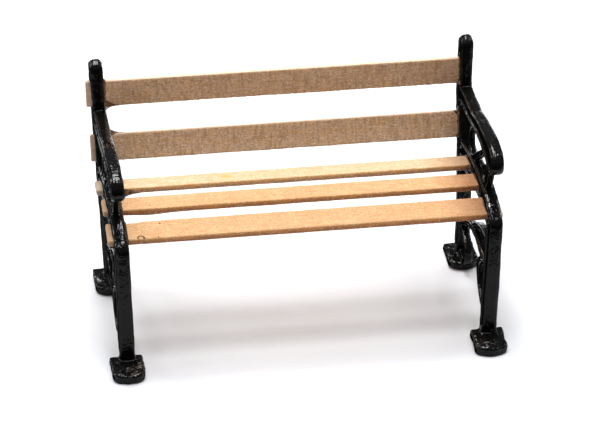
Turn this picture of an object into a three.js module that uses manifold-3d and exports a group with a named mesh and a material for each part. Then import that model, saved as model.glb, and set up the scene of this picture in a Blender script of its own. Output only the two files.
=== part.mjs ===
// A miniature slatted garden bench, about one twelfth of full size: two cast metal end frames,
// five wooden slats pushed through slots in them, and a bead of glue round each slat at each frame.
// Millimetres, +X along the slats, -Y to the front, +Z up. Side outlines are [y, z] pairs measured
// back from the toe line and up from the floor; the bench is centred on its own box at the end.
import * as THREE from "three";
import { mergeVertices } from "three/addons/utils/BufferGeometryUtils.js";
import Module from "manifold-3d";

const wasm = await Module();
wasm.setup();

// Driving dimensions.
const FRAME_SPACING = 100; // between the frames' middle planes, at the pivot point of their lean
const LEAN = 0.02; // each frame stands out this much for each millimetre of height
const TOE = 0.02; // and this much for each millimetre of depth, so they spread to the back
const SPREAD_PIVOT = [25, 25]; // [y, z] where the spacing is exactly FRAME_SPACING

const POST_THICK = 3.9;
const ARM_THICK = 3.8;
const RAIL_THICK = 3.9;
const LEG_THICK = 3.9; // at the knee
const LEG_FLARE = 0.12; // the share by which the leg is thicker at the floor
const BAR_ROUND = 0.95; // the radius on the edges of the main bars
// Both frames come from one mould, so they aren't mirrored: the arm, the rail and the leg's knee
// stand to the +X side of the back post's middle plane, and the leg's foot to the other side.
const FRONT_OFFSET = 0.2;
const FOOT_OFFSET = -0.1;
const ARM_SCROLL_THICK = 2.0;
const LEG_SCROLL_THICK = 2.3;
const SCROLL_WIDTH = 2.0;
const SCROLL_ROUND = 0.45;

const PAD_WIDTH = 8.8;
const PAD_OFFSET = -0.4; // of the pads' middles from the same plane
const FRONT_PAD = { back: 5.2, depth: 9.8 };
const BACK_PAD = { back: 51.2, depth: 10.9 };
const PAD_NOSE = 1.2; // how far the pad's front edge bows out past its corners
const PAD_CORNER = 1.4; // how far back from there the front corners start to round
const PAD_HEIGHT = 2.4;
const PAD_ROUND = 0.5;

const SLOT_CLEARANCE = 0.1;

const BEAD_LENGTH = 1.0; // along the slat
const BEAD_EDGE = 0.7; // out from the slat's thin edges
const BEAD_FACE = 0.25; // out from its broad faces
const BEAD_TIP = 0.1;
const BEAD_GAP = 0.03;

// Each slat: the middle of its show face, the face's tilt in degrees (0 is a level seat, 90 an
// upright back), the x of its two ends, which were cut and pushed in by hand, and its section.
// The front slat is sawn a little bigger than the others.
const SAWN = { width: 7.5, thick: 1.6 };
const SLATS = {
  seat_slat_front: { at: [10.2, 37.8], tilt: 6, ends: [-53.0, 52.5], width: 8.1, thick: 1.75 },
  seat_slat_middle: { at: [23.35, 38.5], tilt: -3, ends: [-53.1, 51.9], ...SAWN },
  seat_slat_rear: { at: [36.35, 37.3], tilt: -9, ends: [-53.9, 51.9], ...SAWN },
  back_slat_lower: { at: [52.0, 40.2], tilt: 72, ends: [-53.9, 52.1], ...SAWN },
  back_slat_upper: { at: [55.05, 55.3], tilt: 86, ends: [-54.4, 52.4], ...SAWN },
};

const IRON = { color: 0x0d0d0e, roughness: 0.22, metalness: 0.3 };
const WOOD = { color: 0xd9b48a, roughness: 0.75, metalness: 0 };
const GLUE = { color: 0x7a5a3a, roughness: 0.35, metalness: 0 };

const CUT_SPAN = [-10, 10]; // the x range of a slot cut, well past both faces of a frame
const BAR_STEPS = 5; // samples in each span of a bar's centre line
const CAP_STEPS = 12; // facets round a bar's end
const ROUND_STEPS = 2; // facets across a rounded edge

// A three.js geometry as a manifold-3d solid, and back.
function solidOf(geometry) {
  const bare = geometry.clone();
  bare.deleteAttribute("normal");
  bare.deleteAttribute("uv");
  const merged = mergeVertices(bare, 1e-4);
  return new wasm.Manifold(
    new wasm.Mesh({
      numProp: 3,
      vertProperties: merged.attributes.position.array,
      triVerts: new Uint32Array(merged.index.array),
    }),
  );
}

function geometryOf(solid) {
  const mesh = solid.getMesh();
  const geometry = new THREE.BufferGeometry();
  geometry.setAttribute("position", new THREE.BufferAttribute(mesh.vertProperties, mesh.numProp));
  geometry.setIndex(new THREE.BufferAttribute(mesh.triVerts, 1));
  geometry.computeVertexNormals();
  return geometry;
}

// A side outline in the YZ plane, extruded along X about x = 0, with rounded edges.
function slab(outline, thick, round) {
  const geometry = new THREE.ExtrudeGeometry(new THREE.Shape(outline), {
    depth: thick - 2 * round,
    bevelThickness: round,
    bevelSize: round,
    bevelOffset: -round,
    bevelSegments: ROUND_STEPS,
  });
  geometry.translate(0, 0, round - thick / 2);
  const alongX = new THREE.Matrix4().makeBasis(
    new THREE.Vector3(0, 1, 0),
    new THREE.Vector3(0, 0, 1),
    new THREE.Vector3(1, 0, 0),
  );
  return solidOf(geometry.applyMatrix4(alongX));
}

// A bar along a smooth centre line through [y, z, width] stations. Its end is round; its start is
// round too unless it stands in a foot pad.
function bar(stations, thick, round = BAR_ROUND, startRound = true) {
  const line = new THREE.SplineCurve(stations.map(([y, z]) => new THREE.Vector2(y, z)));
  const spans = stations.length - 1;
  const steps = spans * BAR_STEPS;
  const left = [];
  const right = [];
  for (let i = 0; i <= steps; i++) {
    const t = i / steps;
    const span = Math.min(Math.floor(t * spans), spans - 1);
    const blend = t * spans - span;
    const half = THREE.MathUtils.lerp(stations[span][2], stations[span + 1][2], blend) / 2;
    const point = line.getPoint(t);
    const along = line.getTangent(t);
    const across = new THREE.Vector2(-along.y, along.x).multiplyScalar(half);
    left.push(point.clone().add(across));
    right.push(point.clone().sub(across));
  }
  const cap = (centre, from) => {
    const points = [];
    for (let i = 1; i < CAP_STEPS; i++) {
      points.push(from.clone().rotateAround(centre, (Math.PI * i) / CAP_STEPS));
    }
    return points;
  };
  const endCap = cap(line.getPoint(1), right[steps]);
  const startCap = startRound ? cap(line.getPoint(0), left[0]) : [];
  return slab([...right, ...endCap, ...left.reverse(), ...startCap], thick, round);
}

// A thin scroll of constant width.
function scroll(points, thick) {
  return bar(points.map(([y, z]) => [y, z, SCROLL_WIDTH]), thick, SCROLL_ROUND);
}

// The upright at the back: straight from its foot, then bent back, with a round top.
function backPost() {
  return bar(
    [
      [47.3, 1.2, 5.0],
      [47.4, 10, 5.0],
      [48.6, 19.5, 5.1],
      [51.7, 33.3, 5.4],
      [55.2, 44, 5.4],
      [56.7, 51, 5.4],
      [57.1, 62.5, 5.2],
    ],
    POST_THICK,
    BAR_ROUND,
    false,
  );
}

// The armrest rises to the front and ends in a fat round nose.
function arm() {
  return bar(
    [
      [54.8, 48.2, 5.0],
      [48.4, 48.6, 4.8],
      [38.2, 49.6, 4.3],
      [29.5, 51.3, 4.5],
      [22, 52.0, 5.4],
      [14.5, 52.3, 6.6],
      [8.9, 51.7, 7.0],
    ],
    ARM_THICK,
  ).translate([FRONT_OFFSET, 0, 0]);
}

// The seat rail holds the three seat slats, and dips to the back.
function seatRail() {
  return bar(
    [
      [6.0, 35.0, 5.6],
      [11, 36.7, 6.2],
      [19, 37.2, 6.0],
      [27, 36.5, 6.6],
      [35, 35.2, 7.4],
      [42, 34.0, 7.2],
      [47.2, 33.6, 6.4],
    ],
    RAIL_THICK,
  ).translate([FRONT_OFFSET, 0, 0]);
}

// The front leg is nearly straight, with a rounded knee where it meets the rail. Going up, it thins
// and leans over from its foot's offset to the rail's.
function frontLeg() {
  const knee = 35.2;
  return bar(
    [
      [4.5, 1.2, 4.6],
      [4.6, 10, 4.8],
      [4.8, 20, 5.2],
      [4.9, 30, 5.4],
      [5.0, knee, 5.8],
    ],
    LEG_THICK,
    BAR_ROUND,
    false,
  ).warp((place) => {
    const rise = Math.min(1, place[2] / knee);
    place[0] *= 1 + LEG_FLARE * (1 - rise);
    place[0] += THREE.MathUtils.lerp(FOOT_OFFSET, FRONT_OFFSET, rise);
  });
}

// Under the arm: a hook by the front and a loop behind it, both standing on the rail.
function armScrolls() {
  const frontLoop = scroll(
    [
      [12.8, 48.6],
      [13.6, 44.6],
      [15.7, 41.2],
      [18.4, 39.8],
      [21.2, 40.4],
      [23.0, 42.2],
    ],
    ARM_SCROLL_THICK,
  );
  const rearLoop = scroll(
    [
      [38.4, 48.0],
      [41.4, 44.6],
      [41.8, 40.6],
      [39.2, 38.1],
      [35.4, 38.6],
      [31.8, 40.9],
      [27.0, 44.2],
      [22.4, 47.2],
      [20.0, 49.0],
    ],
    ARM_SCROLL_THICK,
  );
  return frontLoop.add(rearLoop);
}

// Below the seat: a forked brace from the front leg to the back leg, and a scroll on each leg.
function legScrolls() {
  const brace = [
    [5.0, 18.4],
    [12, 19.4],
    [20, 20.0],
    [28, 19.8],
    [35, 17.8],
    [41, 14.8],
    [47, 12.6],
  ];
  const fork = [
    [5.0, 27.2],
    [12, 26.9],
    [18, 25.8],
    [24, 23.6],
    [29, 20.4],
  ];
  const frontCurl = [
    [6.0, 20.0],
    [12.8, 19.4],
    [17.2, 16.6],
    [18.3, 13.2],
    [16.4, 9.6],
    [12.0, 7.2],
    [5.0, 6.0],
  ];
  const rearCurl = [
    [46.5, 10.4],
    [41.6, 10.0],
    [38.0, 7.8],
    [37.6, 4.8],
    [40.2, 2.6],
    [46.5, 2.6],
  ];
  return [brace, fork, frontCurl, rearCurl]
    .map((points) => scroll(points, LEG_SCROLL_THICK))
    .reduce((whole, piece) => whole.add(piece));
}

// A flat foot pad whose front edge bows out, with its back edge at y = back.
function footPad({ back, depth }) {
  const halfWidth = PAD_WIDTH / 2 - PAD_ROUND;
  const front = back - depth + PAD_ROUND;
  const outline = new THREE.Shape();
  outline.moveTo(halfWidth, back - PAD_ROUND);
  outline.lineTo(-halfWidth, back - PAD_ROUND);
  const cornerStart = front + PAD_CORNER;
  const pull = front - (PAD_NOSE + PAD_CORNER / 4) / 0.75; // bows the curve out to the nose
  outline.lineTo(-halfWidth, cornerStart);
  outline.bezierCurveTo(-halfWidth, pull, halfWidth, pull, halfWidth, cornerStart);
  const geometry = new THREE.ExtrudeGeometry(outline, {
    depth: PAD_HEIGHT - 2 * PAD_ROUND,
    bevelThickness: PAD_ROUND,
    bevelSize: PAD_ROUND,
    bevelSegments: 2,
    curveSegments: 8,
  });
  return solidOf(geometry.translate(PAD_OFFSET, 0, PAD_ROUND));
}

// A slat's section between two x values, grown all round by clearance.
function slatBox(slat, [from, to], clearance) {
  const tilt = THREE.MathUtils.degToRad(slat.tilt);
  const width = slat.width + 2 * clearance;
  const box = new THREE.BoxGeometry(to - from, width, slat.thick + 2 * clearance);
  box.translate((from + to) / 2, 0, -slat.thick / 2);
  box.rotateX(tilt);
  return box.translate(0, slat.at[0], slat.at[1]);
}

// Leans and toes a geometry of one frame, and moves it out to its side.
function spread(geometry, side) {
  const [pivotY, pivotZ] = SPREAD_PIVOT;
  const out = FRAME_SPACING / 2 - TOE * pivotY - LEAN * pivotZ;
  const shear = new THREE.Matrix4().set(
    1, side * TOE, side * LEAN, side * out,
    0, 1, 0, 0,
    0, 0, 1, 0,
    0, 0, 0, 1,
  );
  return geometry.applyMatrix4(shear);
}

function endFrame() {
  const pieces = [
    backPost(),
    arm(),
    seatRail(),
    frontLeg(),
    armScrolls(),
    legScrolls(),
    footPad(FRONT_PAD),
    footPad(BACK_PAD),
  ];
  let frame = pieces.reduce((whole, piece) => whole.add(piece));
  for (const slat of Object.values(SLATS)) {
    frame = frame.subtract(solidOf(slatBox(slat, CUT_SPAN, SLOT_CLEARANCE)));
  }
  return geometryOf(frame);
}

// A ring of glue round a slat where it goes into a frame, tapering away along the slat.
function glueBead(slat, side) {
  const [thick, offset] = slat.tilt > 45 ? [POST_THICK, 0] : [RAIL_THICK, FRONT_OFFSET];
  const face = thick / 2 + BEAD_GAP;
  const stations = [
    [face, BEAD_EDGE, BEAD_FACE],
    [face + BEAD_LENGTH / 3, BEAD_EDGE / 2, BEAD_FACE / 2],
    [face + BEAD_LENGTH, BEAD_TIP, BEAD_TIP],
  ];
  const corners = [];
  for (const [inward, edge, broad] of stations) {
    const halfWidth = slat.width / 2 + edge;
    const halfThick = slat.thick / 2 + broad;
    for (const [across, through] of [[-1, -1], [1, -1], [1, 1], [-1, 1]]) {
      corners.push(new THREE.Vector3(-side * inward, across * halfWidth, through * halfThick));
    }
  }
  const faces = [];
  const quad = (a, b, c, d) => faces.push(a, b, c, a, c, d);
  quad(3, 2, 1, 0);
  for (let low = 0; low < 8; low += 4) {
    for (let corner = 0; corner < 4; corner++) {
      const next = (corner + 1) % 4;
      quad(low + corner, low + next, low + 4 + next, low + 4 + corner);
    }
  }
  quad(8, 9, 10, 11);
  if (side > 0) faces.reverse();
  const cone = new THREE.BufferGeometry().setFromPoints(corners);
  cone.setIndex(faces);
  cone.translate(0, 0, -slat.thick / 2);
  cone.rotateX(THREE.MathUtils.degToRad(slat.tilt));
  cone.translate(offset, slat.at[0], slat.at[1]);
  const ring = solidOf(cone).subtract(solidOf(slatBox(slat, CUT_SPAN, BEAD_GAP)));
  return geometryOf(ring);
}

function named(name, geometry, look) {
  const mesh = new THREE.Mesh(geometry, new THREE.MeshStandardMaterial(look));
  mesh.name = name;
  return mesh;
}

const bench = new THREE.Group();
for (const [sideName, side] of [["left", -1], ["right", 1]]) {
  bench.add(named("end_frame_" + sideName, spread(endFrame(), side), IRON));
}
for (const [name, slat] of Object.entries(SLATS)) {
  bench.add(named(name, slatBox(slat, slat.ends, 0), WOOD));
  for (const [sideName, side] of [["left", -1], ["right", 1]]) {
    bench.add(named("glue_" + name + "_" + sideName, spread(glueBead(slat, side), side), GLUE));
  }
}

// The origin is on the floor under the middle of the whole bench.
const middle = new THREE.Box3().setFromObject(bench).getCenter(new THREE.Vector3());
bench.position.set(-middle.x, -middle.y, 0);

export default bench;
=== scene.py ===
import math
import random

import bpy
import numpy as np
from mathutils import Matrix, Vector, kdtree, noise


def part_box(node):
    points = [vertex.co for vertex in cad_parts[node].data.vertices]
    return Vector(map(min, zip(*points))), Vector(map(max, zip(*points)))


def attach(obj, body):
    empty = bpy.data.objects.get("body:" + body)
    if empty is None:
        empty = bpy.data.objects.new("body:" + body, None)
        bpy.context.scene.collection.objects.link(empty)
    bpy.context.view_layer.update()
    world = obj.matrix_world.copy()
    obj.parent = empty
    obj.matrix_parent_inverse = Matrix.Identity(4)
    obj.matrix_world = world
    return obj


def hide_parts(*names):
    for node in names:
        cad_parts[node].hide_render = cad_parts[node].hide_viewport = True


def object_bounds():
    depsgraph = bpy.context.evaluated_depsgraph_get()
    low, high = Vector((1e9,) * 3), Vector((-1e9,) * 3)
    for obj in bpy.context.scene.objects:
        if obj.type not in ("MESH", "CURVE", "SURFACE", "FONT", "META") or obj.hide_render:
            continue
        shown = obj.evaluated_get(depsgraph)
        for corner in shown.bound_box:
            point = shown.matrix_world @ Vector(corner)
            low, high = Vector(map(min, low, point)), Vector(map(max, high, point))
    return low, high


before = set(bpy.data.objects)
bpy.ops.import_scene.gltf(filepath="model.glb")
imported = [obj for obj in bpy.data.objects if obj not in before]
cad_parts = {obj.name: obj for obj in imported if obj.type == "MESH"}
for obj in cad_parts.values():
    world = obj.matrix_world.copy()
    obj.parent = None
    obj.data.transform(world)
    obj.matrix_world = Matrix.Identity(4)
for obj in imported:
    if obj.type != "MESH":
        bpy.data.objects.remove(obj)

MM = 0.001
CAD_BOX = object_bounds()
SIDES = {"left": -1, "right": 1}
SLATS = ["seat_slat_front", "seat_slat_middle", "seat_slat_rear", "back_slat_lower", "back_slat_upper"]


# ---------------------------------------------------------------- shader helpers


class Shader:
    """A material's node tree, with short calls that add and link nodes."""

    def __init__(self, name):
        self.material = bpy.data.materials.new(name)
        self.material.use_nodes = True
        self.tree = self.material.node_tree
        self.surface = self.tree.nodes["Principled BSDF"]
        self.coords = None

    def node(self, kind, settings=None, **inputs):
        made = self.tree.nodes.new(kind)
        for key, value in (settings or {}).items():
            setattr(made, key, value)
        for key, value in inputs.items():
            self.feed(made.inputs[key.replace("_", " ")], value)
        return made

    def feed(self, socket, value):
        if isinstance(value, bpy.types.NodeSocket):
            self.tree.links.new(value, socket)
        else:
            socket.default_value = value

    def set(self, **inputs):
        for key, value in inputs.items():
            self.feed(self.surface.inputs[key.replace("_", " ")], value)

    def place(self, stretch=(1, 1, 1), shift=(0, 0, 0)):
        """The piece's own coordinates in millimetres, stretched and shifted."""
        if self.coords is None:
            self.coords = self.node("ShaderNodeTexCoord").outputs["Object"]
        mapping = self.node("ShaderNodeMapping", Vector=self.coords)
        mapping.inputs["Scale"].default_value = [s / MM for s in stretch]
        mapping.inputs["Location"].default_value = shift
        return mapping.outputs["Vector"]

    def noise(self, per_mm, stretch=(1, 1, 1), shift=(0, 0, 0), detail=2.0, roughness=0.5):
        made = self.node(
            "ShaderNodeTexNoise",
            Vector=self.place(stretch, shift),
            Scale=per_mm,
            Detail=detail,
            Roughness=roughness,
        )
        return made.outputs["Fac"]

    def ramp(self, fac, low, high, start=0.0, end=1.0):
        """fac between low and high, spread over start to end."""
        made = self.node("ShaderNodeMapRange", Value=fac)
        for name, value in zip(("From Min", "From Max", "To Min", "To Max"), (low, high, start, end)):
            made.inputs[name].default_value = value
        return made.outputs["Result"]

    def split(self):
        """The piece's own x, y and z in millimetres."""
        parts = self.node("ShaderNodeSeparateXYZ", Vector=self.place())
        return [parts.outputs[axis] for axis in "XYZ"]

    def mix(self, fac, one, two, blend="MIX"):
        made = self.node("ShaderNodeMix", {"data_type": "RGBA", "blend_type": blend})
        self.feed(made.inputs[0], fac)
        self.feed(made.inputs[6], one)
        self.feed(made.inputs[7], two)
        return made.outputs[2]

    def math(self, operation, one, two=0.0):
        made = self.node("ShaderNodeMath", {"operation": operation})
        self.feed(made.inputs[0], one)
        self.feed(made.inputs[1], two)
        return made.outputs["Value"]

    def bump(self, height, depth_mm, strength=1.0, below=None):
        made = self.node("ShaderNodeBump", Height=height, Strength=strength)
        made.inputs["Distance"].default_value = depth_mm * MM
        if below is not None:
            self.feed(made.inputs["Normal"], below)
        return made.outputs["Normal"]


def rgb(red, green, blue):
    """An sRGB colour given as 0 to 255, as linear RGBA."""
    channels = [c / 255 for c in (red, green, blue)]
    linear = [c / 12.92 if c <= 0.04045 else ((c + 0.055) / 1.055) ** 2.4 for c in channels]
    return (*linear, 1.0)


# ---------------------------------------------------------------- materials


POST_DULL = (60.0, 62.0)  # heights between which the posts' tops grow duller
ABOVE_PADS = (5.0, 8.0)  # heights between which level faces grow smoother


def enamel_material():
    """Thick black gloss enamel, a little uneven: duller on its sides, glossier on its tops, its tops
    painted lighter in mottles as dust and painted sheen.
    """
    s = Shader("black_enamel")
    facing = s.node("ShaderNodeNewGeometry").outputs["Normal"]
    parts = s.node("ShaderNodeSeparateXYZ", Vector=facing).outputs
    upward = s.ramp(parts["Z"], 0.1, 0.6)
    mottle = s.ramp(s.noise(2.2, detail=3, roughness=0.7), 0.5, 0.7)
    # Up-facing surfaces are painted lighter in mottles: partly dust, partly a painted reflection of the
    # light on the tops.
    dust_and_sheen = s.math("MULTIPLY", upward, mottle)
    sideways = s.ramp(s.math("ABSOLUTE", parts["X"]), 0.7, 0.88)
    gloss = s.ramp(upward, 0, 1, 0.13, 0.7)
    polish = s.ramp(s.noise(0.5, detail=4, shift=(2, 5, 9)), 0.3, 0.7, 0.05, 0.14)
    height = s.split()[2]
    polish = s.math("ADD", polish, s.ramp(height, POST_DULL[0], POST_DULL[1], 0, 0.14))
    s.set(
        Base_Color=s.mix(dust_and_sheen, rgb(8, 8, 8), rgb(34, 32, 28)),
        Roughness=s.math("ADD", polish, s.ramp(sideways, 0, 1, 0, 0.3)),
        Specular_IOR_Level=s.math("MULTIPLY", gloss, s.ramp(sideways, 0, 1, 1.0, 0.0)),
    )
    level = s.math("MULTIPLY", s.ramp(parts["Z"], 0.9, 0.97), s.ramp(height, ABOVE_PADS[0], ABOVE_PADS[1]))
    calm = s.math("MULTIPLY", s.ramp(sideways, 0, 1, 1.0, 0.2), s.ramp(level, 0, 1, 1.0, 0.4))
    streaks = s.bump(s.noise(1.0, (1.2, 0.3, 0.3), detail=2), 0.2, calm)
    ripples = s.bump(s.noise(1.0, detail=1, shift=(3, 8, 4)), 0.11, calm, below=streaks)
    peel = s.bump(s.noise(2.8, detail=1), 0.025, calm, below=ripples)
    clusters = s.ramp(s.noise(0.7, detail=1, shift=(6, 1, 2)), 0.48, 0.6)
    cells = s.node("ShaderNodeTexVoronoi", Vector=s.place(), Scale=1.5).outputs["Distance"]
    blisters = s.math("MULTIPLY", s.ramp(cells, 0.32, 0.05), s.math("MULTIPLY", clusters, upward))
    s.set(Normal=s.bump(blisters, 0.07, below=peel))
    return s.material


LEFT_STUB = -50.0  # x where a slat comes out of the castings' outer faces, in its own frame
RIGHT_STUB = 51.5
IRON_NEAR = (45.0, 49.0)  # x where a slat is painted darker towards the right casting: painted shadow of its arm and frame, with some glue stain
ARM_SHADE = (36.5, 46.0)  # x where the seat is a little darker under the right arm
# The tint of the painted shadow near the right casting.
NEAR_IRON_SHADE_TINT = rgb(186, 170, 152)
SHADE_TINT = rgb(214, 204, 202)
RIGHT_STUB_COLOUR = rgb(214, 204, 194)


def wood_material(name, look, half_width, seed):
    """Bare sawn wood: tones drift along the grain, with flecks, pores, saw marks and fuzzy edges, plus
    painted shade along the front edge, under the right arm and near the right casting, and a painted
    highlight along the rear edge.
    """
    s = Shader(name)
    tones = look["tones"]
    shift = (seed * 17.3, seed * 5.1, seed * 2.7)
    drift = s.ramp(s.noise(0.16, (0.35, 2.0, 1), shift, detail=3), 0.3, 0.7)
    colour = s.mix(drift, tones[0], tones[1])
    patches = s.ramp(s.noise(0.35, (0.6, 1.6, 1), shift[::-1], detail=3), 0.45, 0.75)
    colour = s.mix(patches, colour, tones[2])
    streaks = s.noise(1.0, (0.35, 4.0, 3.0), shift, detail=3, roughness=0.6)
    colour = s.mix(s.ramp(streaks, 0.42, 0.72, 0, look["streaks"]), colour, tones[3])
    flecks = s.noise(1.0, (1.0, 2.2, 2.0), shift[::-1], detail=3, roughness=0.65)
    colour = s.mix(s.ramp(flecks, 0.54, 0.68, 0, look["flecks"]), colour, look["fleck"])
    saw = s.noise(1.0, (1.5, 0.25, 0.6), shift, detail=3)
    colour = s.mix(s.ramp(saw, 0.45, 0.7, 0, look["saw"]), colour, tones[3])
    speckle = s.noise(2.2, (0.8, 1.2, 1.2), shift, detail=3, roughness=0.7)
    colour = s.mix(s.ramp(speckle, 0.48, 0.66, 0, look["speckle"]), colour, tones[3])
    pale = s.noise(1.9, (0.7, 1.3, 1.2), shift[::-1], detail=2)
    colour = s.mix(s.ramp(pale, 0.56, 0.7, 0, look["speckle"]), colour, look["pale"])
    pores = s.noise(1.0, (1.6, 4.0, 4.0), shift, detail=1)
    colour = s.mix(s.ramp(pores, 0.7, 0.76, 0, 0.7), colour, look["pore"])
    along, across, up = s.split()
    ragged = s.math("MULTIPLY", s.math("SUBTRACT", speckle, 0.5), 0.9)
    to_front = s.math("ADD", s.math("MULTIPLY", across, -1.0), ragged)
    # Painted shade: the front edge is darkened, more so towards the back face, as the shade under the
    # seat, with some saw scorch.
    front_edge_shade_and_scorch = s.ramp(to_front, half_width - 0.22, half_width - 0.02, 0, look["front_strength"])
    blotches = s.math("MULTIPLY", s.math("SUBTRACT", patches, 0.5), 0.5)
    lower = s.ramp(s.math("ADD", up, s.math("ADD", ragged, blotches)), -0.55, -1.1)
    colour = s.mix(front_edge_shade_and_scorch, colour, s.mix(lower, look["front"], look["under"]), "MULTIPLY")
    # Painted highlight: a pale band along the rear edge, where it catches the light from above.
    rear_edge_highlight = s.ramp(s.math("ADD", across, ragged), half_width - 0.2, half_width, 0, 0.9)
    colour = s.mix(rear_edge_highlight, colour, look["rear"])
    ragged_along = s.math("ADD", along, ragged)
    stub = s.ramp(ragged_along, LEFT_STUB - 0.3, LEFT_STUB + 0.3, look["stub_strength"], 0)
    colour = s.mix(stub, colour, look["stub"])
    # Painted shadow of the right arm and frame, with some glue stain, darkening the slat towards the right
    # casting.
    near_iron_shade = s.ramp(ragged_along, IRON_NEAR[0], IRON_NEAR[1], 0, look["near_iron_shade_strength"])
    colour = s.mix(near_iron_shade, colour, NEAR_IRON_SHADE_TINT, "MULTIPLY")
    shade = s.ramp(ragged_along, ARM_SHADE[0], ARM_SHADE[1], 0, look["shade_strength"])
    colour = s.mix(shade, colour, SHADE_TINT, "MULTIPLY")
    right_stub = s.ramp(along, RIGHT_STUB - 0.3, RIGHT_STUB + 0.3, 0, 0.8)
    colour = s.mix(right_stub, colour, RIGHT_STUB_COLOUR)
    for spot in look.get("spots", []):
        colour = s.mix(spot_mask(s, along, across, spot), colour, look["pore"])
    s.set(Base_Color=colour, Roughness=0.8)
    s.set(Specular_IOR_Level=0.2)
    grain = s.bump(streaks, 0.06)
    s.set(Normal=s.bump(saw, 0.07, below=s.bump(speckle, 0.09, below=grain)))
    return s.material


def spot_mask(s, along, across, spot):
    """1 in a spot, or on the rear half of a ring when the spot has a ring radius, else 0."""
    at_x, at_y = spot["at"]
    ring = spot.get("ring", 0)
    dx = s.math("MULTIPLY", s.math("SUBTRACT", along, at_x), 1 / spot.get("stretch", 1))
    dy = s.math("SUBTRACT", across, at_y)
    distance = s.math("SQRT", s.math("ADD", s.math("MULTIPLY", dx, dx), s.math("MULTIPLY", dy, dy)))
    off = s.math("ABSOLUTE", s.math("SUBTRACT", distance, ring))
    mask = s.ramp(off, spot["size"], spot["size"] * 0.3, 0, 1)
    if ring > 0:
        mask = s.math("MULTIPLY", mask, s.ramp(dy, -0.7, 0.0))
    return mask


def glue_material():
    """Dried brown glue: glossy, darker in random blotches."""
    s = Shader("brown_glue")
    blotch = s.ramp(s.noise(1.4, detail=3), 0.35, 0.65)
    s.set(
        Base_Color=s.mix(blotch, rgb(50, 35, 25), rgb(122, 90, 64)),
        Roughness=0.22,
        Normal=s.bump(s.noise(2.5, detail=2), 0.06),
    )
    return s.material


# ---------------------------------------------------------------- mesh helpers


def add_object(name, mesh):
    obj = bpy.data.objects.new(name, mesh)
    bpy.context.scene.collection.objects.link(obj)
    return obj


def finish_piece(obj, nodes, material):
    obj.data.materials.clear()
    obj.data.materials.append(material)
    obj.data.shade_smooth()
    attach(obj, "root")
    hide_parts(*nodes)


def vertex_arrays(mesh):
    """Vertex positions and normals as arrays."""
    places = np.empty(len(mesh.vertices) * 3)
    normals = np.empty(len(mesh.vertices) * 3)
    mesh.vertices.foreach_get("co", places)
    mesh.vertex_normals.foreach_get("vector", normals)
    return places.reshape(-1, 3), normals.reshape(-1, 3)


def noise_at(places, per_mm, shift):
    """Smooth noise between about -1 and 1 at each place."""
    offset = Vector(shift)
    return np.array([noise.noise(Vector(p) * per_mm + offset) for p in places])


# ---------------------------------------------------------------- castings

VOXEL = 0.17
SMOOTH_STEPS = 4
PAD_SMOOTH_STEPS = 16
# The enamel's unevenness: (per mm, height in mm, share of the frequency that is kept lengthwise).
LUMPS = ((0.16, 0.10, 1.0), (0.45, 0.05, 1.0), (0.8, 0.075, 0.3), (1.5, 0.03, 1.0))
PAD_TOP = 3.2  # below this height the enamel has pooled on the foot pads
PAD_LUMPS = ((0.3, 0.34), (0.7, 0.13), (1.5, 0.03))
POOL_FROM_NOSE = 3.6  # the enamel heaped up on each front pad, behind the pad's nose
POOL_RADIUS = 1.5
POOL_HEIGHT = 0.45
POOL_LUMPS = ((0.9, 0.5), (1.8, 0.2))
BAR_HALF = 2.5  # the bars lie this near the casting's middle plane; the foot pads reach past it
RIM = 0.55  # in from the outline to the crest of the border along every bar
RIM_SLOPE = 0.4
CHANNEL_DEPTH = 0.6  # of the face between the borders
OUTLINE_STEP = 0.1
POST_DOME = 2.2  # the height over which the post's top closes in
POST_DOME_CLOSE = 0.42
POST_DROP = {"left": 0.3, "right": 0.0}  # how far each post's top sank in casting
CURL_BEND = {"left": -0.8, "right": 0.0}  # how far the front leg's scroll was bent in x
CURL_FROM_NOSE = 13.0  # from the front of the pad's nose to just behind the leg


class MiddlePlane:
    """The plane halfway through a casting's bars: x = at + by_y * y + by_z * z."""

    def __init__(self, places):
        bars = places[places[:, 2] > 5.0]
        terms = np.column_stack([np.ones(len(bars)), bars[:, 1], bars[:, 2]])
        fitted = np.linalg.lstsq(terms, bars[:, 0], rcond=None)[0]
        self.at, self.by_y, self.by_z = fitted

    def offset(self, places):
        return places[:, 0] - (self.at + self.by_y * places[:, 1] + self.by_z * places[:, 2])


def outline_tree(node, plane):
    """A search tree of the points along the outline of a casting's bars, seen from its side."""
    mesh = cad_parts[node].data
    places = np.array([v.co for v in mesh.vertices]) / MM
    near = np.abs(plane.offset(places)) < BAR_HALF
    low = places[:, 1:].min(0) - 1.0
    cells = np.ceil((places[:, 1:].max(0) + 1.0 - low) / OUTLINE_STEP).astype(int)
    filled = np.zeros(cells, bool)
    mesh.calc_loop_triangles()
    for triangle in mesh.loop_triangles:
        index = list(triangle.vertices)
        if triangle.normal.x < 0.4 or not near[index].all():
            continue
        fill_triangle(filled, (places[index][:, 1:] - low) / OUTLINE_STEP)
    inner = filled.copy()
    for axis in (0, 1):
        for step in (-1, 1):
            inner &= np.roll(filled, step, axis)
    rim = np.argwhere(filled & ~inner)
    tree = kdtree.KDTree(len(rim))
    for k, cell in enumerate(rim):
        y, z = low + (cell + 0.5) * OUTLINE_STEP
        tree.insert((0, y, z), k)
    tree.balance()
    return tree


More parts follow.
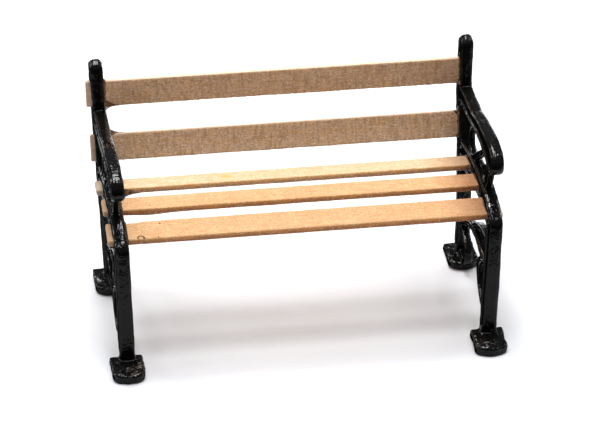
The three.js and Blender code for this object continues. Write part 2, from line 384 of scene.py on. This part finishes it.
def fill_triangle(filled, corners):
    """Marks the cells whose middles lie in a triangle given in cell units."""
    low = np.maximum(np.floor(corners.min(0)).astype(int) - 1, 0)
    high = np.ceil(corners.max(0)).astype(int) + 1
    ys, zs = np.mgrid[low[0]:high[0], low[1]:high[1]]
    points = np.stack([ys + 0.5, zs + 0.5], -1)
    a, b, c = corners
    area = (b[0] - a[0]) * (c[1] - a[1]) - (b[1] - a[1]) * (c[0] - a[0])
    if abs(area) < 1e-9:
        return
    inside = np.ones(ys.shape, bool)
    for p, q in ((a, b), (b, c), (c, a)):
        cross = (q[0] - p[0]) * (points[..., 1] - p[1]) - (q[1] - p[1]) * (points[..., 0] - p[0])
        inside &= cross * np.sign(area) >= -0.02 * abs(area) ** 0.5
    filled[low[0]:high[0], low[1]:high[1]] |= inside


def smooth_step(value, low, high):
    t = np.clip((value - low) / (high - low), 0, 1)
    return t * t * (3 - 2 * t)


def sink_channels(places, plane, tree):
    """Sinks the broad faces of the bars between raised borders."""
    offset = plane.offset(places)
    on_bar = (np.abs(offset) < BAR_HALF + 0.15) & (places[:, 2] > 2.0)
    depth = np.zeros(len(places))
    for k in np.flatnonzero(on_bar):
        depth[k] = tree.find((0, places[k, 1], places[k, 2]))[2]
    sunk = CHANNEL_DEPTH * smooth_step(depth, RIM, RIM + RIM_SLOPE)
    skin = smooth_step(np.abs(offset), 0.3, 0.9)
    places[:, 0] -= np.sign(offset) * sunk * skin * on_bar


def dome_post(places, plane, drop):
    """Closes in the top of the post, and lowers it by drop."""
    offset = plane.offset(places)
    on_bar = np.abs(offset) < BAR_HALF + 0.2
    top = places[:, 2].max()
    dome = np.clip((places[:, 2] - (top - POST_DOME)) / POST_DOME, 0, 1) ** 2
    places[:, 0] -= offset * dome * POST_DOME_CLOSE * on_bar
    places[:, 2] -= drop * np.clip((places[:, 2] - (top - 2 * POST_DOME)) / (2 * POST_DOME), 0, 1)


def bend_curl(places, amount):
    """Bends the scroll behind the front leg sideways by amount."""
    leg_back = places[:, 1].min() + CURL_FROM_NOSE
    behind = smooth_step(places[:, 1], leg_back, leg_back + 5) * (
        1 - smooth_step(places[:, 1], leg_back + 11, leg_back + 17)
    )
    places[:, 0] += amount * behind * (1 - smooth_step(places[:, 2], 16, 24))


def smooth_casting(obj, places):
    """Smooths the whole casting a little and its foot pads much more."""
    smooth = obj.modifiers.new("smooth", "SMOOTH")
    smooth.factor = 0.5
    smooth.iterations = SMOOTH_STEPS
    group = obj.vertex_groups.new(name="pads")
    weights = 1 - smooth_step(places[:, 2], PAD_TOP, PAD_TOP + 1.5)
    for index in np.flatnonzero(weights > 0.01):
        group.add([int(index)], float(weights[index]), "REPLACE")
    pads = obj.modifiers.new("smooth_pads", "SMOOTH")
    pads.factor = 0.5
    pads.iterations = PAD_SMOOTH_STEPS
    pads.vertex_group = "pads"
    apply_modifiers(obj)
    obj.vertex_groups.clear()


def apply_modifiers(obj):
    ready = obj.evaluated_get(bpy.context.evaluated_depsgraph_get())
    mesh = bpy.data.meshes.new_from_object(ready)
    obj.modifiers.clear()
    obj.data = mesh


def move_vertices(obj, places):
    obj.data.vertices.foreach_set("co", places.ravel())
    obj.data.update()


def heaped_enamel(places, plane, normals):
    """The height of the lumpy heap of enamel on top of the front foot pad, in front of the leg."""
    nose = places[:, 1].min()
    pad = places[places[:, 2] < 1.0]
    pad_middle = np.median(plane.offset(pad))
    across = plane.offset(places) - pad_middle
    back = places[:, 1] - (nose + POOL_FROM_NOSE)
    heap = np.exp(-(across**2 + back**2) / (2 * POOL_RADIUS**2))
    heap *= smooth_step(normals[:, 2], 0.3, 0.8) * (places[:, 2] < PAD_TOP + 1.0)
    size = POOL_HEIGHT
    for index, (per_mm, amount) in enumerate(POOL_LUMPS):
        size = size + amount * noise_at(places, per_mm, (index * 7, 3, nose))
    return heap * size


def casting(side, material):
    """One end frame: the CAD mesh remeshed finely, given its borders, rounded and enamelled."""
    node = "end_frame_" + side
    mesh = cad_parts[node].data.copy()
    mesh.transform(Matrix.Scale(1 / MM, 4))
    plane = MiddlePlane(vertex_arrays(mesh)[0])
    tree = outline_tree(node, plane)
    obj = add_object("casting_" + side, mesh)
    remesh = obj.modifiers.new("remesh", "REMESH")
    remesh.mode = "VOXEL"
    remesh.voxel_size = VOXEL
    apply_modifiers(obj)
    places, _ = vertex_arrays(obj.data)
    sink_channels(places, plane, tree)
    dome_post(places, plane, POST_DROP[side])
    bend_curl(places, CURL_BEND[side])
    move_vertices(obj, places)
    smooth_casting(obj, places)
    places, normals = vertex_arrays(obj.data)
    height = np.zeros(len(places))
    on_pad = 1 - smooth_step(places[:, 2], PAD_TOP - 0.6, PAD_TOP + 0.6)
    for index, (per_mm, size, lengthwise) in enumerate(LUMPS):
        stretched = places * (1, lengthwise, lengthwise)
        height += size * noise_at(stretched, per_mm, (SIDES[side] * 31, index * 13, 5))
    for index, (per_mm, size) in enumerate(PAD_LUMPS):
        height += on_pad * size * noise_at(places, per_mm, (SIDES[side] * 19, index * 11, 8))
    height += heaped_enamel(places, plane, normals)
    places += normals * height[:, None]
    places[:, 2] = np.maximum(places[:, 2], 0.0)
    move_vertices(obj, places * MM)
    finish_piece(obj, [node], material)
    return obj


# ---------------------------------------------------------------- slats

ALONG_STEP = 0.4
EDGE_ROUND = 0.22
END_ROUND = 0.35


class Slat:
    """Where a slat lies, read off its CAD box: the middle of its show face, tilt and sizes."""

    def __init__(self, node):
        corners = {tuple(round(c / MM, 4) for c in v.co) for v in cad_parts[node].data.vertices}
        low, high = min(c[0] for c in corners), max(c[0] for c in corners)
        end = sorted({c[1:] for c in corners if abs(c[0] - low) < 0.001})
        first, rest = np.array(end[0]), [np.array(c) for c in end[1:]]
        steps = sorted(rest, key=lambda c: np.linalg.norm(c - first))
        across = steps[1] - first
        if across.sum() < 0:
            across = -across
        self.node = node
        self.thick = np.linalg.norm(steps[0] - first)
        self.width = np.linalg.norm(across)
        self.length = high - low
        self.tilt = math.atan2(across[1], across[0])
        normal = np.array([-math.sin(self.tilt), math.cos(self.tilt)])
        middle = np.mean(end, axis=0) + normal * self.thick / 2
        self.origin = Vector(((low + high) / 2, middle[0], middle[1]))

    def matrix(self):
        """From the slat's own frame (X along, Y across, Z out of the show face) to the bench's."""
        return Matrix.Translation(self.origin * MM) @ Matrix.Rotation(self.tilt, 4, "X")


def section_loop(width, thick):
    """Points round a slat's section, as (across, up), with small chamfers at the corners."""
    cuts_across, cuts_thick = 16, 4
    half, e = width / 2, EDGE_ROUND
    corners = [(-half, 0), (half, 0), (half, -thick), (-half, -thick)]
    loop = []
    for i, (a, cuts) in enumerate(zip(corners, (cuts_across, cuts_thick) * 2)):
        b = corners[(i + 1) % 4]
        a, b = np.array(a, float), np.array(b, float)
        along = (b - a) / np.linalg.norm(b - a)
        a, b = a + along * e, b - along * e
        loop += [a + (b - a) * k / cuts for k in range(cuts + 1)]
    return np.array(loop)


def slat_mesh(slat, seed, dents):
    """A sawn slat: round-cornered section swept along X, with ragged edges and rough cut ends."""
    loop = section_loop(slat.width, slat.thick)
    stations = int(slat.length / ALONG_STEP)
    xs = np.linspace(-slat.length / 2, slat.length / 2, stations + 1)
    extra = (0.08, 0.2)
    xs = np.sort([*xs, *(xs[0] + e for e in extra), *(xs[-1] - e for e in extra)])
    rings = []
    middle = np.array([0, -slat.thick / 2])
    for x in xs:
        from_end = min(x - xs[0], xs[-1] - x)
        shrink = END_ROUND * max(0, 1 - from_end / END_ROUND) ** 2
        inset = 1 - shrink / np.array([slat.width / 2, slat.thick / 2])
        rings.append([(x, *(middle + (p - middle) * inset)) for p in loop])
    for end, order in ((0, (0.3, 0.65)), (-1, (0.65, 0.3))):
        ring = [np.array(point[1:]) for point in rings[end]]
        inner = [[(xs[end], *(middle + (p - middle) * k)) for p in ring] for k in order]
        rings = inner + rings if end == 0 else rings + inner
    count = len(loop)
    points = np.array([p for ring in rings for p in ring])
    points = roughen(points, slat, seed, dents)
    faces = []
    for r in range(len(rings) - 1):
        for k in range(count):
            n = (k + 1) % count
            faces.append((r * count + k, (r + 1) * count + k, (r + 1) * count + n, r * count + n))
    last = (len(rings) - 1) * count
    faces.append(tuple(range(count)))
    faces.append(tuple(last + k for k in reversed(range(count))))
    mesh = bpy.data.meshes.new(slat.node)
    mesh.from_pydata((points * MM).tolist(), [], faces)
    mesh.update()
    return mesh


def roughen(points, slat, seed, dents):
    """Sawn roughness everywhere, ragged long edges, and the stated dents in single edges."""
    shift = (seed * 9.7, seed * 3.1, 0)
    half = slat.width / 2
    stretched = points * (0.5, 1.0, 1.0)
    broad = noise_at(stretched, 0.25, shift)
    fine = noise_at(points, 2.3, shift)
    fuzz = noise_at(points, 4.1, shift[::-1])
    to_edge = np.minimum(half - np.abs(points[:, 1]), 1.0)
    edge = np.clip(1 - to_edge / 0.35, 0, 1)
    top = points[:, 2] > -slat.thick / 2
    outward = np.where(top, 1.0, -1.0)
    points[:, 2] += outward * (0.05 * broad + 0.03 * fine) - outward * edge * 0.05 * np.abs(fuzz)
    points[:, 1] += np.sign(points[:, 1]) * edge * (0.09 * fuzz + 0.06 * fine + 0.05 * broad)
    for at, width, abruptness, edge_side, depth, low in dents:
        near = np.exp(-(np.abs((points[:, 0] - at) / width) ** abruptness))
        side = np.clip(1 - np.abs(points[:, 1] - edge_side * half) / 1.2, 0, 1)
        points[:, 1] += -edge_side * depth * near * side
        under = np.where(top, 0.0, 1.0)
        points[:, 2] -= low * near * side * under
    at_end = np.abs(np.abs(points[:, 0]) - slat.length / 2) < 0.01
    points[at_end, 0] += np.sign(points[at_end, 0]) * 0.06 * fuzz[at_end]
    return points


# ---------------------------------------------------------------- glue

GLUE_PROFILE = 6


def slat_perimeter(slat, count=80):
    """Points and outward directions round the slat's section, in its own frame."""
    half, thick = slat.width / 2, slat.thick
    total = 2 * (slat.width + thick)
    points, outs = [], []
    for k in range(count):
        s = total * k / count
        if s < slat.width:
            point, out = (-half + s, 0), (0, 1)
        elif s < slat.width + thick:
            point, out = (half, -(s - slat.width)), (1, 0)
        elif s < 2 * slat.width + thick:
            point, out = (half - (s - slat.width - thick), -thick), (0, -1)
        else:
            point, out = (-half, -thick + (s - 2 * slat.width - thick)), (-1, 0)
        points.append(point)
        outs.append(out)
    outs = np.array(outs, float)
    for _ in range(3):
        outs = (np.roll(outs, 1, 0) + outs + np.roll(outs, -1, 0)) / 3
    return np.array(points), outs


def glue_fillet(slat, side, face_x, sizes, seed, material):
    """A concave fillet of glue round the slat against the casting's inner face."""
    points, outs = slat_perimeter(slat)
    count = len(points)
    inward = -SIDES[side]
    rows = []
    for k in range(count):
        across, up = points[k]
        size = sizes["base"]
        for edge, amount in sizes.get("edges", {}).items():
            weight = edge_weight(edge, across, up, slat)
            size = max(size, amount * weight)
        wobble = noise.noise(Vector((across * 0.9, up * 0.9 + seed * 7.7, seed * 3.0)))
        reach = max(size * (1 + 0.55 * wobble), 0.06)
        rise = max(sizes.get("rise", 0.6) * size * (1 - 0.4 * wobble), 0.05)
        row = [(-0.25, -0.12), (reach, -0.12)]
        for j in range(GLUE_PROFILE):
            t = j / (GLUE_PROFILE - 1) * math.pi / 2
            row.append((reach * (1 - math.sin(t)), rise * (1 - math.cos(t))))
        row.append((-0.25, rise))
        out_across, out_up = outs[k]
        rows.append([(face_x + inward * dx, across + out_across * dn, up + out_up * dn) for dx, dn in row])
    width = len(rows[0])
    verts = [Vector(p) * MM for row in rows for p in row]
    faces = []
    for k in range(count):
        n = (k + 1) % count
        for j in range(width):
            m = (j + 1) % width
            quad = (k * width + j, k * width + m, n * width + m, n * width + j)
            faces.append(quad if inward > 0 else quad[::-1])
    mesh = bpy.data.meshes.new("glue")
    mesh.from_pydata([tuple(v) for v in verts], [], faces)
    mesh.update()
    node = f"glue_{slat.node}_{side}"
    obj = add_object(f"fillet_{slat.node}_{side}", mesh)
    obj.matrix_world = slat.matrix()
    finish_piece(obj, [node], material)
    return obj


def edge_weight(edge, across, up, slat):
    """How near a place on the section is to one of its long edges or faces, 1 at it."""
    half = slat.width / 2
    spots = {
        "low": (-half, -slat.thick / 2),
        "high": (half, -slat.thick / 2),
        "low_back": (-half, -slat.thick),
        "high_back": (half, -slat.thick),
    }
    a, u = spots[edge]
    distance = math.hypot(across - a, up - u)
    return 1 - smooth_step(distance, 0.3, 2.4)


# ---------------------------------------------------------------- build the bench

enamel = enamel_material()
for side in SIDES:
    casting(side, enamel)

PEACH = {
    "tones": [rgb(212, 169, 124), rgb(218, 179, 136), rgb(220, 168, 124), rgb(176, 126, 82)],
    "pale": rgb(234, 208, 170),
    "pore": rgb(84, 50, 28),
    "fleck": rgb(196, 138, 84),
    "flecks": 0.7,
    "front": rgb(244, 220, 184),
    "under": rgb(200, 175, 166),
    "rear": rgb(236, 212, 178),
    "stub": rgb(182, 160, 138),
    "streaks": 0.62,
    "saw": 0.15,
    "speckle": 0.5,
    "front_strength": 1.0,
    "stub_strength": 0.5,
    "near_iron_shade_strength": 0.4,
    "shade_strength": 1.0,
}
CREAM = PEACH | {
    "tones": [rgb(220, 193, 157), rgb(226, 200, 168), rgb(222, 180, 142), rgb(188, 150, 108)],
    "pale": rgb(240, 230, 204),
    "pore": rgb(218, 174, 100),
    "front": rgb(244, 218, 172),
    "stub": rgb(184, 168, 150),
    "stub_strength": 0.85,
}
TAN = PEACH | {
    "tones": [rgb(227, 190, 154), rgb(219, 186, 155), rgb(230, 186, 140), rgb(150, 113, 84)],
    "pale": rgb(244, 222, 198),
    "pore": rgb(110, 75, 50),
    "fleck": rgb(200, 140, 88),
    "front": rgb(220, 190, 160),
    "rear": rgb(228, 206, 182),
    "stub": rgb(182, 162, 148),
    "streaks": 0.5,
    "saw": 0.5,
    "speckle": 0.6,
    "near_iron_shade_strength": 0.25,
    "shade_strength": 0.3,
}
SMALL_DOT = {"size": 0.5, "stretch": 0.7}
WOODS = {  # with the spots' places in a slat's own frame
    "seat_slat_front": PEACH
    | {
        "spots": [
            SMALL_DOT | {"at": (-38.5, 2.5)},
            {"at": (-44.0, -3.4), "ring": 0.8, "size": 0.3},
            SMALL_DOT | {"at": (-43.1, -3.6), "size": 0.5},
            SMALL_DOT | {"at": (-39.4, -3.6), "size": 0.4},
        ]
    },
    "seat_slat_middle": PEACH | {"spots": [SMALL_DOT | {"at": (-39.9, -2.0), "size": 0.35}]},
    "seat_slat_rear": CREAM | {"spots": [{"at": (-17.2, 0.4), "size": 1.8, "stretch": 1.2}]},
    "back_slat_lower": TAN,
    "back_slat_upper": TAN,
}
DENTS = {  # (x, half length, abruptness, edge side, depth, hang) in a slat's own frame
    "seat_slat_front": [(-47.5, 4.2, 12, 1, 0.5, 0.0)],
    "seat_slat_middle": [(-40.0, 4.5, 2, -1, 0.0, 0.5)],
}
GLUE_SIZES = {
    ("back_slat_upper", "left"): {"base": 0.45, "edges": {"low": 4.4}},
    ("back_slat_upper", "right"): {"base": 0.35, "edges": {"low": 1.2}},
    ("back_slat_lower", "left"): {"base": 0.45, "edges": {"high_back": 5.0}},
    ("back_slat_lower", "right"): {"base": 0.4, "edges": {"high": 1.2, "low": 1.0}},
    ("seat_slat_rear", "left"): {"base": 0.45, "rise": 0.85, "edges": {"low_back": 6.0}},
    ("seat_slat_rear", "right"): {"base": 0.4, "edges": {"low_back": 1.6}},
    ("seat_slat_middle", "right"): {"base": 0.35, "edges": {"low_back": 1.4}},
}
glue = glue_material()
for index, node in enumerate(SLATS):
    slat = Slat(node)
    wood = wood_material("wood_" + node, WOODS[node], slat.width / 2, index + 1)
    obj = add_object("plank_" + node, slat_mesh(slat, index + 1, DENTS.get(node, [])))
    obj.matrix_world = slat.matrix()
    finish_piece(obj, [node], wood)
    for side in SIDES:
        low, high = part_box(f"glue_{node}_{side}")
        face_x = (low.x if side == "left" else high.x) / MM - slat.origin.x
        sizes = GLUE_SIZES.get((node, side), {"base": 0.35})
        glue_fillet(slat, side, face_x, sizes, index * 2 + SIDES[side], glue)


# ---------------------------------------------------------------- studio


def floor():
    size = 3.0
    mesh = bpy.data.meshes.new("floor")
    corners = [(-size, -size, 0), (size, -size, 0), (size, size, 0), (-size, size, 0)]
    mesh.from_pydata(corners, [], [(0, 1, 2, 3)])
    obj = add_object("floor", mesh)
    s = Shader("pale_floor")
    s.set(Base_Color=(0.845, 0.855, 0.885, 1), Roughness=0.9, Specular_IOR_Level=0.1)
    mesh.materials.append(s.material)


def dark_card():
    """A black card lying in front, hidden from the camera and seen only in reflections: a painted dark
    reflection, standing in for where the white sheet ends.
    """
    low, high = CAD_BOX
    near, far, half = low.y - 0.042, low.y - 1.5, 1.5
    z = 0.0003
    mesh = bpy.data.meshes.new("dark_card")
    corners = [(-half, far, z), (half, far, z), (half, near, z), (-half, near, z)]
    mesh.from_pydata(corners, [], [(0, 1, 2, 3)])
    obj = add_object("dark_card", mesh)
    s = Shader("dark_card")
    s.set(Base_Color=(0.01, 0.01, 0.01, 1), Roughness=1.0, Specular_IOR_Level=0.0)
    mesh.materials.append(s.material)
    obj.visible_camera = False
    obj.visible_diffuse = False
    obj.visible_shadow = False


def soft_light(name, place, target, size, power, colour=(1, 1, 1)):
    data = bpy.data.lights.new(name, "AREA")
    data.shape = "RECTANGLE"
    data.size, data.size_y = size
    data.energy = power
    data.color = colour
    obj = bpy.data.objects.new(name, data)
    obj.location = place
    obj.rotation_euler = (Vector(target) - Vector(place)).to_track_quat("-Z", "Y").to_euler()
    bpy.context.scene.collection.objects.link(obj)
    return obj


def studio():
    floor()
    dark_card()
    centre = (CAD_BOX[0] + CAD_BOX[1]) / 2
    fill = soft_light("overhead_fill", (centre.x, 0.12, 0.75), centre, (0.9, 0.9), 8.4)
    fill.visible_glossy = False
    soft_light("overhead_sheen", (centre.x, 0.21, 0.70), centre, (0.18, 0.78), 3.0)
    soft_light("left_wall", (-0.8, 0.5, 0.45), centre, (0.25, 0.7), 2.0)
    soft_light("right_wall", (0.8, 0.4, 0.45), centre, (0.25, 0.7), 0.9)
    soft_light("lamp", (-0.05, 0.25, 0.9), centre, (0.1, 0.1), 1.0)
    world = bpy.data.worlds.new("studio")
    bpy.context.scene.world = world
    world.use_nodes = True
    background = world.node_tree.nodes["Background"]
    background.inputs["Color"].default_value = (0.9, 0.95, 1.0, 1)
    background.inputs["Strength"].default_value = 0.06


CAMERA_AZIMUTH = math.radians(8.007)
CAMERA_ELEVATION = math.radians(30.344)
CAMERA_PLACE = Vector((-0.09265, -0.66669, 0.42291))
CAMERA_LENS = 172.2


def camera():
    data = bpy.data.cameras.new("camera")
    data.lens = CAMERA_LENS
    data.sensor_width = 36.0
    obj = bpy.data.objects.new("camera", data)
    obj.location = CAMERA_PLACE
    level = math.cos(CAMERA_ELEVATION)
    ahead = Vector(
        (
            math.sin(CAMERA_AZIMUTH) * level,
            math.cos(CAMERA_AZIMUTH) * level,
            -math.sin(CAMERA_ELEVATION),
        )
    )
    obj.rotation_euler = ahead.to_track_quat("-Z", "Y").to_euler()
    bpy.context.scene.collection.objects.link(obj)
    bpy.context.scene.camera = obj


studio()
camera()
bpy.context.scene.view_settings.view_transform = "Standard"
